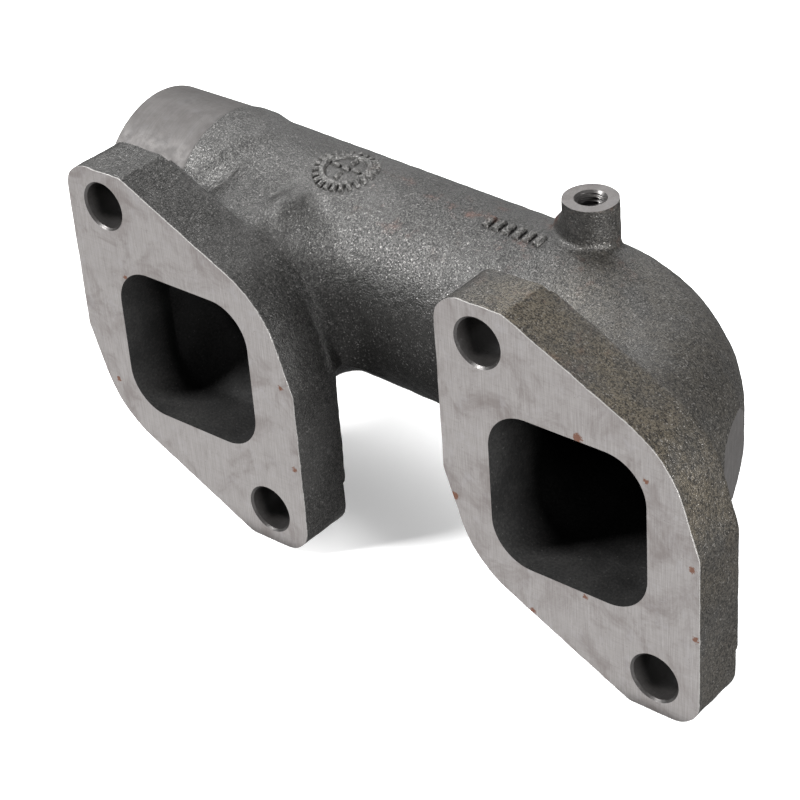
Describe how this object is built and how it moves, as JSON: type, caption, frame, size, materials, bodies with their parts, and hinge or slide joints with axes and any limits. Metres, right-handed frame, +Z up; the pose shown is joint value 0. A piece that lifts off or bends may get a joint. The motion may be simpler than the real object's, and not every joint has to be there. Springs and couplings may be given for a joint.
{
  "type": "exhaust manifold",
  "caption": "Cast-iron exhaust manifold section: two head flanges joined by a round collector, with an elbow at one end and a machined slip spigot at the other.",
  "frame": {"origin": "centre of port 1 on the cylinder-head face of flange_1", "axes": "+X along the collector from the spigot towards port 2 and the elbow, +Y away from the cylinder head, +Z up"},
  "size_m": [0.2241, 0.0813, 0.1032],
  "materials": {
    "cast_iron": "as-cast, sand grain",
    "machined_iron": "milled and turned, satin"
  },
  "bodies": {
    "root": {"flange_1": "machined_iron", "flange_2": "machined_iron", "runner_1": "cast_iron", "collector": "cast_iron", "elbow": "cast_iron", "collar": "cast_iron", "spigot": "machined_iron", "bracket_boss": "cast_iron", "ring_mark": "cast_iron", "batch_marks": "cast_iron"}
  },
  "joints": []
}
